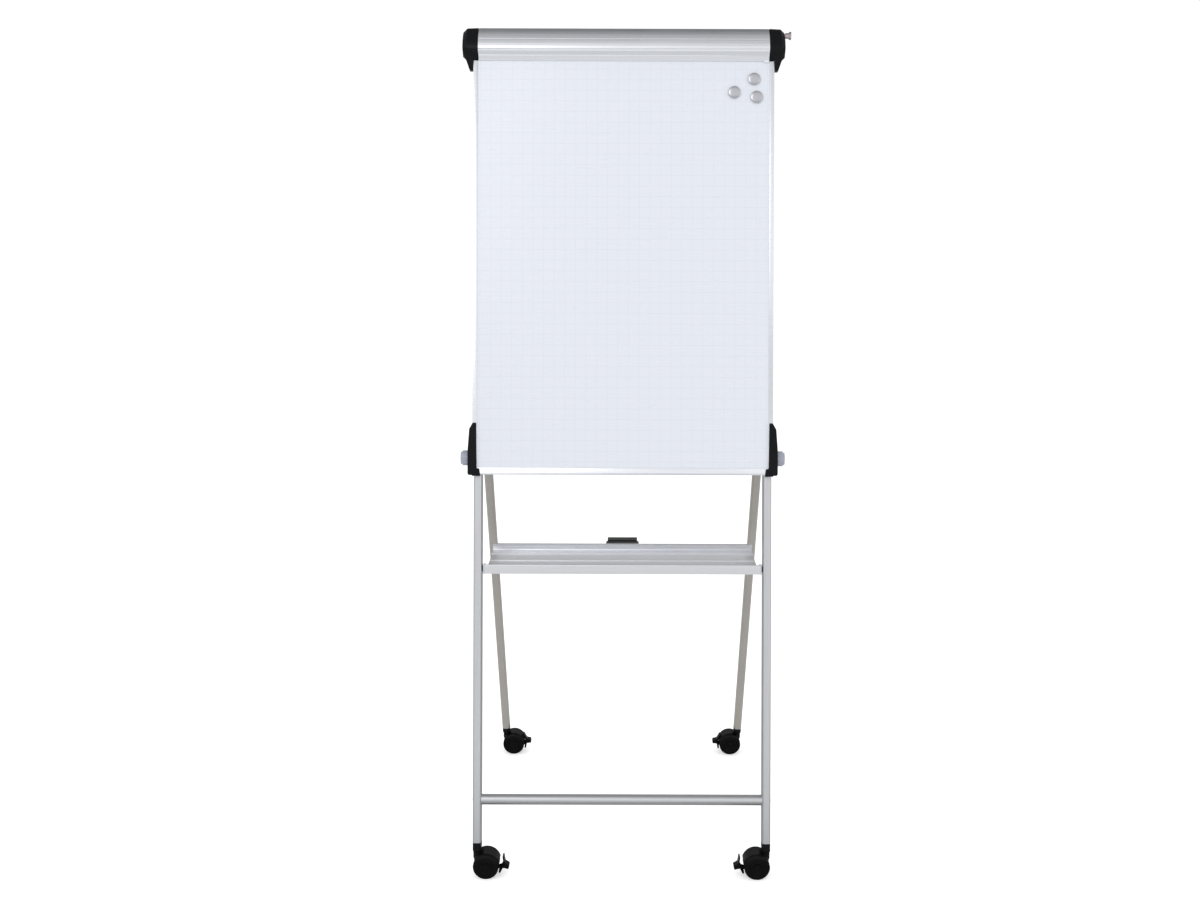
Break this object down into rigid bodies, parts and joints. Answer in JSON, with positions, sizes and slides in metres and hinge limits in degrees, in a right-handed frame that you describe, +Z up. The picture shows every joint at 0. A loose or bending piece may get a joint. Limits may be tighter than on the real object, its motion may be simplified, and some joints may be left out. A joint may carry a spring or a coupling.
{
  "type": "flipchart easel",
  "caption": "Mobile flipchart easel: whiteboard with paper clamp on a folding leaning frame, pen tray and braked castors.",
  "frame": {"origin": "on the floor, midway between the left and right legs and between the front and rear castors' outer edges", "axes": "+Z up, -Y towards the writing side, +X to the right as the user faces the board"},
  "size_m": [0.768, 0.7358, 1.9534],
  "materials": {
    "frame_aluminium": "satin silver anodised tube",
    "rear_frame_paint": "satin warm grey powder coat",
    "board_aluminium": "satin silver anodised extrusion",
    "fastener_steel": "zinc plated",
    "chrome": "polished",
    "enamel": "gloss white enamel with a faint printed grid",
    "board_core": "fibre core",
    "magnet_steel": "satin nickel",
    "tray_aluminium": "satin silver anodised extrusion",
    "light_plastic": "moulded light grey",
    "grey_plastic": "moulded grey",
    "rubber": "matt black",
    "wheel_plastic": "black moulded wheel and tread",
    "castor_plastic": "black moulded nylon",
    "black_plastic": "black moulded plastic"
  },
  "bodies": {
    "front_frame": {"front_leg_left": "frame_aluminium", "front_leg_right": "frame_aluminium", "front_cross_tube": "frame_aluminium", "frame_screws": "fastener_steel", "front_leg_plugs": "black_plastic", "hinge_brackets": "fastener_steel", "hinge_pins": "fastener_steel", "tray_pivot_pins": "black_plastic", "front_foot_sockets": "black_plastic", "front_castor_stems": "fastener_steel"},
    "rear_frame": {"rear_leg_left": "rear_frame_paint", "rear_leg_right": "rear_frame_paint", "rear_cross_tube": "rear_frame_paint", "rear_hinge_eyes": "black_plastic", "rear_screws": "fastener_steel", "rear_foot_sockets": "black_plastic", "rear_castor_stems": "fastener_steel"},
    "board": {"writing_sheet": "enamel", "board_core": "board_core", "side_profile_left": "board_aluminium", "side_profile_right": "board_aluminium", "bottom_profile": "board_aluminium", "head_rail": "board_aluminium", "end_cap_left": "black_plastic", "end_cap_right": "black_plastic", "clamp_pins": "fastener_steel", "slide_bracket_left": "black_plastic", "slide_bracket_right": "black_plastic", "board_screws": "fastener_steel"},
    "clamp": {"clamp_bar": "board_aluminium", "clamp_strip": "rubber"},
    "knob_left": {"knob_left": "grey_plastic"},
    "knob_right": {"knob_right": "grey_plastic"},
    "arm": {"arm_rod": "chrome", "arm_knob": "chrome"},
    "peg_left": {"pad_peg_left": "black_plastic"},
    "peg_right": {"pad_peg_right": "black_plastic"},
    "magnet_1": {"magnet_1": "magnet_steel"},
    "magnet_2": {"magnet_2": "magnet_steel"},
    "magnet_3": {"magnet_3": "magnet_steel"},
    "tray": {"tray_profile": "tray_aluminium", "tray_end_caps": "light_plastic", "tray_screws": "fastener_steel"},
    "latch": {"tray_latch": "black_plastic"},
    "castor_fl": {"castor_fl_housing": "castor_plastic"},
    "wheel_fl_front": {"castor_fl_wheel_front": "wheel_plastic"},
    "wheel_fl_rear": {"castor_fl_wheel_rear": "wheel_plastic"},
    "pedal_fl": {"castor_fl_pedal": "castor_plastic"},
    "castor_fr": {"castor_fr_housing": "castor_plastic"},
    "wheel_fr_front": {"castor_fr_wheel_front": "wheel_plastic"},
    "wheel_fr_rear": {"castor_fr_wheel_rear": "wheel_plastic"},
    "pedal_fr": {"castor_fr_pedal": "castor_plastic"},
    "castor_rl": {"castor_rl_housing": "castor_plastic"},
    "wheel_rl_front": {"castor_rl_wheel_front": "wheel_plastic"},
    "wheel_rl_rear": {"castor_rl_wheel_rear": "wheel_plastic"},
    "pedal_rl": {"castor_rl_pedal": "castor_plastic"},
    "castor_rr": {"castor_rr_housing": "castor_plastic"},
    "wheel_rr_front": {"castor_rr_wheel_front": "wheel_plastic"},
    "wheel_rr_rear": {"castor_rr_wheel_rear": "wheel_plastic"},
    "pedal_rr": {"castor_rr_pedal": "castor_plastic"}
  },
  "joints": [
    {"name": "board_height", "type": "slide", "parent": "front_frame", "child": "board", "axis": [0, 0.1822, 0.9833], "range_m": [-0.2, 0.05]},
    {"name": "knob_left_turn", "type": "hinge", "parent": "board", "child": "knob_left", "pos_m": [-0.361, -0.17005, 0.96477], "axis": [1, 0, 0], "range_deg": [0, 90]},
    {"name": "knob_right_turn", "type": "hinge", "parent": "board", "child": "knob_right", "pos_m": [0.361, -0.17005, 0.96477], "axis": [1, 0, 0], "range_deg": [0, 90]},
    {"name": "rear_fold", "type": "hinge", "parent": "front_frame", "child": "rear_frame", "pos_m": [0, -0.10069, 1.11952], "axis": [-1, 0, 0], "range_deg": [0, 29.2]},
    {"name": "tray_fold", "type": "hinge", "parent": "front_frame", "child": "tray", "pos_m": [0, -0.21728, 0.70991], "axis": [1, 0, 0], "range_deg": [0, 70]},
    {"name": "latch_lift", "type": "hinge", "parent": "tray", "child": "latch", "pos_m": [0, -0.02828, 0.70891], "axis": [1, 0, 0], "range_deg": [0, 22]},
    {"name": "clamp_open", "type": "hinge", "parent": "board", "child": "clamp", "pos_m": [0, 0.00319, 1.94339], "axis": [-1, 0, 0], "range_deg": [0, 70]},
    {"name": "arm_slide", "type": "slide", "parent": "board", "child": "arm", "axis": [1, 0, 0], "range_m": [0, 0.3]},
    {"name": "peg_left_slide", "type": "slide", "parent": "board", "child": "peg_left", "axis": [1, 0, 0], "range_m": [-0.06, 0.06]},
    {"name": "peg_right_slide", "type": "slide", "parent": "board", "child": "peg_right", "axis": [1, 0, 0], "range_m": [-0.06, 0.06]},
    {"name": "magnet_1_pull", "type": "slide", "parent": "board", "child": "magnet_1", "axis": [0, -0.9833, 0.1822], "range_m": [0, 0.03]},
    {"name": "magnet_2_pull", "type": "slide", "parent": "board", "child": "magnet_2", "axis": [0, -0.9833, 0.1822], "range_m": [0, 0.03]},
    {"name": "magnet_3_pull", "type": "slide", "parent": "board", "child": "magnet_3", "axis": [0, -0.9833, 0.1822], "range_m": [0, 0.03]},
    {"name": "fl_swivel", "type": "hinge", "parent": "front_frame", "child": "castor_fl", "pos_m": [-0.3382, -0.34192, 0.05], "axis": [0, 0, 1], "continuous": true},
    {"name": "fl_wheel_front_spin", "type": "hinge", "parent": "castor_fl", "child": "wheel_fl_front", "pos_m": [-0.3166, -0.34192, 0.03], "axis": [0, 1, 0], "continuous": true},
    {"name": "fl_wheel_rear_spin", "type": "hinge", "parent": "castor_fl", "child": "wheel_fl_rear", "pos_m": [-0.3166, -0.34192, 0.03], "axis": [0, 1, 0], "continuous": true},
    {"name": "fl_brake", "type": "hinge", "parent": "castor_fl", "child": "pedal_fl", "pos_m": [-0.2966, -0.34192, 0.017], "axis": [0, -1, 0], "range_deg": [0, 20]},
    {"name": "fr_swivel", "type": "hinge", "parent": "front_frame", "child": "castor_fr", "pos_m": [0.3382, -0.34192, 0.05], "axis": [0, 0, 1], "continuous": true},
    {"name": "fr_wheel_front_spin", "type": "hinge", "parent": "castor_fr", "child": "wheel_fr_front", "pos_m": [0.3166, -0.34192, 0.03], "axis": [0, 1, 0], "continuous": true},
    {"name": "fr_wheel_rear_spin", "type": "hinge", "parent": "castor_fr", "child": "wheel_fr_rear", "pos_m": [0.3166, -0.34192, 0.03], "axis": [0, 1, 0], "continuous": true},
    {"name": "fr_brake", "type": "hinge", "parent": "castor_fr", "child": "pedal_fr", "pos_m": [0.2966, -0.34192, 0.017], "axis": [0, 1, 0], "range_deg": [0, 20]},
    {"name": "rl_swivel", "type": "hinge", "parent": "rear_frame", "child": "castor_rl", "pos_m": [-0.3335, 0.34192, 0.05], "axis": [0, 0, 1], "continuous": true},
    {"name": "rl_wheel_front_spin", "type": "hinge", "parent": "castor_rl", "child": "wheel_rl_front", "pos_m": [-0.3119, 0.34192, 0.03], "axis": [0, 1, 0], "continuous": true},
    {"name": "rl_wheel_rear_spin", "type": "hinge", "parent": "castor_rl", "child": "wheel_rl_rear", "pos_m": [-0.3119, 0.34192, 0.03], "axis": [0, 1, 0], "continuous": true},
    {"name": "rl_brake", "type": "hinge", "parent": "castor_rl", "child": "pedal_rl", "pos_m": [-0.2919, 0.34192, 0.017], "axis": [0, 1, 0], "range_deg": [0, 20]},
    {"name": "rr_swivel", "type": "hinge", "parent": "rear_frame", "child": "castor_rr", "pos_m": [0.3335, 0.34192, 0.05], "axis": [0, 0, 1], "continuous": true},
    {"name": "rr_wheel_front_spin", "type": "hinge", "parent": "castor_rr", "child": "wheel_rr_front", "pos_m": [0.3119, 0.34192, 0.03], "axis": [0, 1, 0], "continuous": true},
    {"name": "rr_wheel_rear_spin", "type": "hinge", "parent": "castor_rr", "child": "wheel_rr_rear", "pos_m": [0.3119, 0.34192, 0.03], "axis": [0, 1, 0], "continuous": true},
    {"name": "rr_brake", "type": "hinge", "parent": "castor_rr", "child": "pedal_rr", "pos_m": [0.2919, 0.34192, 0.017], "axis": [0, -1, 0], "range_deg": [0, 20]}
  ]
}
